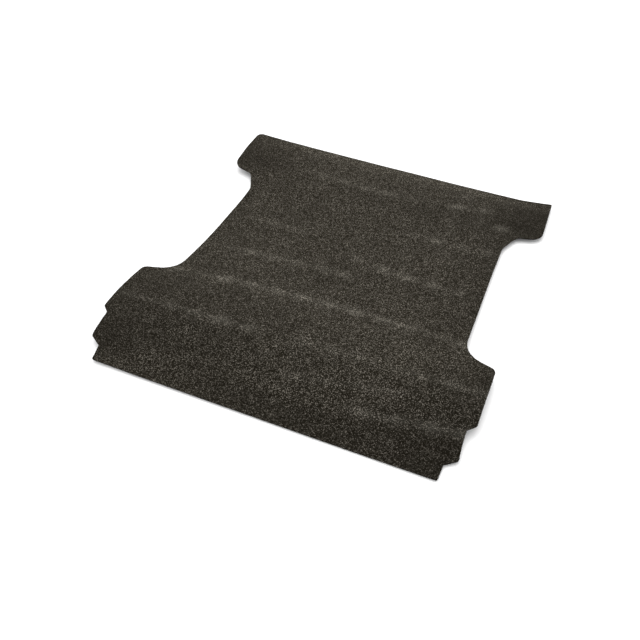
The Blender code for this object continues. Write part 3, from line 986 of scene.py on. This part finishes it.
def carpet_material():
    """Felted pile: tangled dark, mid and pale fibres, with painted shade and painted light over
    it, and a painted highlight on its creases and crushed spots.
    """
    pile = Surface("felted_pile", 0.95, 0.10)
    warp = pile.warped(0.005, 0.0014)
    clump, _ = pile.cells(CLUMP_SIZE, warp)
    tuft, off_centre = pile.cells(TUFT_SIZE, warp)
    strands = None
    for angle in STRAND_ANGLES:
        line = pile.noise(1.0, 1.0, place=pile.stretched(angle, *STRAND_SIZE))
        strands = line if strands is None else pile.math("MAXIMUM", strands, line)
    tone = pile.math("MULTIPLY", tuft, TUFT_WEIGHT)
    tone = pile.math("MULTIPLY_ADD", clump, CLUMP_WEIGHT, tone)
    tone = pile.math("MULTIPLY_ADD", strands, STRAND_WEIGHT, tone)
    color = pile.ramp(tone, *PILE_COLORS)
    tint = pile.ramp(off_centre, *TUFT_TINTS)
    color = pile.blend("MULTIPLY", TINT_SHARE, color, tint)
    clouds = pile.noise(CLOUD_SIZE, 3.0)
    shade = pile.math("MULTIPLY_ADD", clouds, CLOUD_CONTRAST, CLOUD_DARKEST)
    # The creases' painted highlight
    mark = pile.stored("painted_crease_highlight")
    # Painted shade and painted light of the zones and patches, with random mottling
    shade = pile.math("MULTIPLY", shade, pile.stored("painted_shading_and_mottling"))
    shade = pile.math("MULTIPLY", shade, pile.math("MULTIPLY_ADD", mark, CREASE_HIGHLIGHT_GAIN, 1.0))
    color = pile.blend("MULTIPLY", 1.0, color, shade)
    # The painted highlight also adds a pale grey
    pile.color(pile.blend("ADD", 1.0, color, pile.blend("MULTIPLY", 1.0, mark, CREASE_HIGHLIGHT_COLOR)))
    pile.rough(strands, 0.90, 1.0)
    pile.bump(tone, 0.0012, 0.7)
    pile.shader.inputs["Specular Tint"].default_value = PILE_SPECULAR_TINT
    pile.shader.inputs["Sheen Weight"].default_value = 0.05
    pile.shader.inputs["Sheen Roughness"].default_value = 0.6
    pile.shader.inputs["Sheen Tint"].default_value = (*warm(0.8), 1.0)
    return pile.material


def fibre_material():
    """Single fibres in the carpet's own greys, under the pile's painted shade and painted light.
    """
    fibre = Surface("single_fibre", 0.8, 0.2)
    tone = fibre.math("MULTIPLY_ADD", fibre.noise(0.002), 0.2, fibre.stored("fibre_tone"))
    color = fibre.ramp(tone, (0.15, warm(0.003)), (0.60, warm(0.022)), (1.00, warm(0.160)))
    # Painted shade and painted light of the pile beneath
    fibre.color(fibre.blend("MULTIPLY", 1.0, color, fibre.stored("painted_shading_and_mottling")))
    fibre.rough(fibre.noise(0.001), 0.65, 0.95)
    fibre.bump(fibre.noise(0.0003), 0.0001, 0.5)
    return fibre.material


def back_coat_material():
    """Black latex over a woven scrim, whose threads show through."""
    coat = Surface("latex_back_coat", 0.6, 0.35)
    threads = None
    for angle in (0.0, math.pi / 2):
        wave = coat.nodes.new("ShaderNodeTexWave")
        wave.wave_profile = "SIN"
        wave.inputs["Scale"].default_value = WAVE_SCALE
        wave.inputs["Distortion"].default_value = 0.6
        coat.links.new(coat.stretched(angle, SCRIM_PITCH, SCRIM_PITCH), wave.inputs["Vector"])
        line = wave.outputs["Fac"]
        threads = line if threads is None else coat.math("MAXIMUM", threads, line)
    blotch = coat.noise(0.045, 4.0)
    base = coat.ramp(blotch, (0.30, (0.010, 0.010, 0.011)), (0.70, (0.026, 0.026, 0.027)))
    woven = coat.ramp(threads, (0.2, warm(0.5)), (0.9, warm(1.0)))
    coat.color(coat.blend("MULTIPLY", 0.5, base, woven))
    coat.rough(coat.noise(0.012, 3.0), 0.45, 0.80)
    coat.bump(coat.math("MULTIPLY_ADD", coat.noise(0.0012), 0.4, threads), 0.0004, 0.8)
    return coat.material


def foam_material():
    """Closed-cell foam: a grey skin dimpled by its cells, scuffed in places."""
    foam = Surface("closed_cell_foam", 0.8, 0.25)
    warp = foam.warped(0.004, 0.0006)
    cell, distance = foam.cells(0.0013, warp)
    scuff = foam.noise(0.055, 5.0, 0.6)
    base = foam.ramp(scuff, (0.32, (0.095, 0.097, 0.100)), (0.68, (0.165, 0.167, 0.172)))
    cells = foam.ramp(cell, (0.0, (0.6, 0.6, 0.6)), (1.0, (1.0, 1.0, 1.0)))
    foam.color(foam.blend("MULTIPLY", 0.6, base, cells))
    foam.rough(foam.noise(0.010, 3.0), 0.62, 0.92)
    foam.bump(foam.math("SUBTRACT", foam.math("MULTIPLY", scuff, 0.6), distance), 0.0004, 0.8)
    return foam.material


def tape_material():
    """Black nylon, with the ribbing of its weave."""
    tape = Surface("black_nylon", 0.5, 0.4)
    weave = tape.noise(1.0, 2.0, place=tape.stretched(0.0, *TAPE_THREAD))
    tape.color(tape.ramp(weave, (0.35, (0.008, 0.008, 0.009)), (0.70, (0.030, 0.030, 0.032))))
    tape.rough(tape.noise(0.003), 0.35, 0.65)
    tape.bump(weave, 0.0002, 0.7)
    return tape.material


def adhesive_material():
    """Pale acrylic adhesive with the linen texture that its liner leaves."""
    glue = Surface("acrylic_adhesive", 0.35, 0.5)
    warp_way = glue.noise(1.0, 1.0, place=glue.stretched(0.0, *LINEN_THREAD))
    weft_way = glue.noise(1.0, 1.0, place=glue.stretched(math.pi / 2, *LINEN_THREAD))
    linen = glue.math("MAXIMUM", warp_way, weft_way)
    patch = glue.noise(0.018, 3.0)
    glue.color(glue.ramp(patch, (0.30, (0.360, 0.358, 0.345)), (0.70, (0.450, 0.448, 0.435))))
    glue.rough(linen, 0.20, 0.55)
    glue.bump(linen, 0.0002, 0.6)
    return glue.material


def floor_material():
    """A plain, nearly white floor."""
    floor = Surface("pale_floor", 1.0, 0.0)
    floor.shader.inputs["Base Color"].default_value = FLOOR_COLOR
    return floor.material


# ---------------------------------------------------------------- camera and light

def make_camera():
    """A camera at the viewing angle, looking at its target."""
    azimuth, elevation, roll = map(math.radians, (CAMERA_AZIMUTH, CAMERA_ELEVATION, CAMERA_ROLL))
    ahead = Vector((
        -math.sin(azimuth) * math.cos(elevation),
        math.cos(azimuth) * math.cos(elevation),
        -math.sin(elevation),
    ))
    level = Vector((math.cos(azimuth), math.sin(azimuth), 0.0))
    upright = level.cross(ahead)
    right = math.cos(roll) * level + math.sin(roll) * upright
    up = -math.sin(roll) * level + math.cos(roll) * upright
    turn = Matrix((right, up, -ahead)).transposed().to_4x4()
    data = bpy.data.cameras.new("camera")
    data.lens = CAMERA_LENS
    camera = bpy.data.objects.new("camera", data)
    camera.matrix_world = Matrix.Translation(CAMERA_TARGET - ahead * CAMERA_DISTANCE) @ turn
    bpy.context.scene.collection.objects.link(camera)
    bpy.context.scene.camera = camera


def area_light(name, place, size, power):
    """A soft square light that points at the middle of the mat."""
    data = bpy.data.lights.new(name, "AREA")
    data.size = size
    data.energy = power
    light = bpy.data.objects.new(name, data)
    light.location = place
    light.rotation_euler = (-Vector(place)).to_track_quat("-Z", "Y").to_euler()
    bpy.context.scene.collection.objects.link(light)


def make_stage():
    """A pale floor, an even sky and two soft lights, the stronger one above the mat."""
    corners = [(FLOOR_REACH * x, FLOOR_REACH * y, 0) for x, y in SQUARE]
    floor = new_object("floor", corners, [(0, 1, 2, 3)], floor_material())
    floor.location.z = -FLOOR_DROP
    for name, place, size, power in LIGHTS:
        area_light(name, place, size, power)
    world = bpy.data.worlds.new("studio")
    world.use_nodes = True
    background = world.node_tree.nodes["Background"]
    background.inputs["Color"].default_value = SKY_COLOR
    background.inputs["Strength"].default_value = SKY_STRENGTH
    bpy.context.scene.world = world
    bpy.context.scene.view_settings.view_transform = "Standard"


def main():
    """Build the pieces, the camera and the stage."""
    make_camera()
    layers = MatLayers()
    carpet = make_carpet(layers, carpet_material())
    fibres = fibre_material()
    edge_fibres = make_edge_fibres(layers, fibres)
    loose_fibres = make_loose_fibres(layers, fibres)
    backing = make_backing(layers, back_coat_material())
    foam = foam_material()
    panels = [make_foam(layers, panel, foam) for panel in FOAM_PANELS]
    nylon = tape_material()
    tapes = [make_tape(layers, place, nylon) for place in TAPE_PLACES]
    glue = adhesive_material()
    for place in TAPE_PLACES:
        make_pad(layers, place, glue)
    make_stage()


main()
